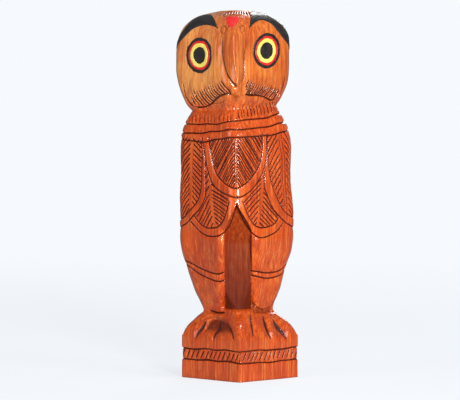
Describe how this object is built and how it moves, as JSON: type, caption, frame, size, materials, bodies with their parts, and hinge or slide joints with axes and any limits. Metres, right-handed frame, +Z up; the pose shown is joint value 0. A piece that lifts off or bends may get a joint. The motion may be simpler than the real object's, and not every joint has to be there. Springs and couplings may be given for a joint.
{
  "type": "carved wooden owl figurine",
  "caption": "Slim hand-carved, stained and lacquered wooden owl on a square plinth, cut corner-forward from one block, with painted brows and ringed eyes.",
  "frame": {"origin": "centre of the plinth's flat underside", "axes": "+Z up through the figure, -Y towards the front corner that the owl's beak is carved on, +X towards the viewer's right (the owl's left)"},
  "size_m": [0.0845, 0.0806, 0.254],
  "materials": {
    "stained_wood": "gloss",
    "black_enamel": "gloss",
    "red_enamel": "gloss",
    "yellow_enamel": "gloss"
  },
  "bodies": {
    "root": {"brow_paint_left": "black_enamel", "brow_paint_right": "black_enamel", "carved_body": "stained_wood", "eye_rim_paint_left": "black_enamel", "eye_rim_paint_right": "black_enamel", "forehead_mark_paint": "red_enamel", "iris_paint_left": "yellow_enamel", "iris_paint_right": "yellow_enamel", "pupil_paint_left": "black_enamel", "pupil_paint_right": "black_enamel", "red_ring_paint_left": "red_enamel", "red_ring_paint_right": "red_enamel"}
  },
  "joints": []
}
